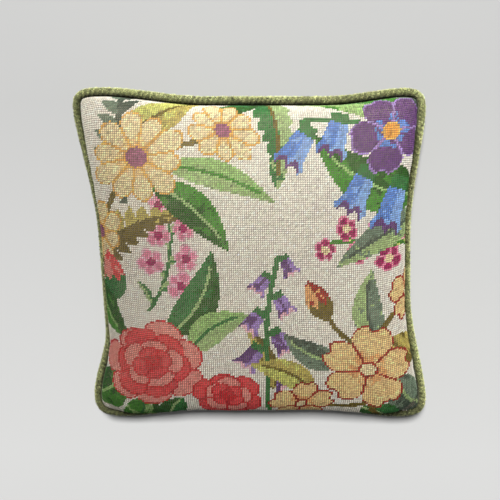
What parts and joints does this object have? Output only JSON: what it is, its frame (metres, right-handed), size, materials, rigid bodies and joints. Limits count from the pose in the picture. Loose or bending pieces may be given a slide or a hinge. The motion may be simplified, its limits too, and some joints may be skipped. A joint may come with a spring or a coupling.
{
  "type": "needlepoint cushion",
  "caption": "Square throw cushion with a wool needlepoint face of garden flowers on cream, a plain olive velvet back and corded velvet piping round its seam.",
  "frame": {"origin": "middle of the cushion's box, on the surface that its back rests on", "axes": "+Z out of the worked face, +Y towards the flowers' upper edge, +X to the right of someone looking at the face"},
  "size_m": [0.3634, 0.3661, 0.1019],
  "materials": {
    "wool_needlepoint": "matte wool tent stitch",
    "olive_velvet_back": "short-pile velvet",
    "olive_velvet_piping": "short-pile velvet over a cord"
  },
  "bodies": {
    "root": {"needlepoint_front": "wool_needlepoint", "cushion_body": "olive_velvet_back", "piping": "olive_velvet_piping"}
  },
  "joints": []
}
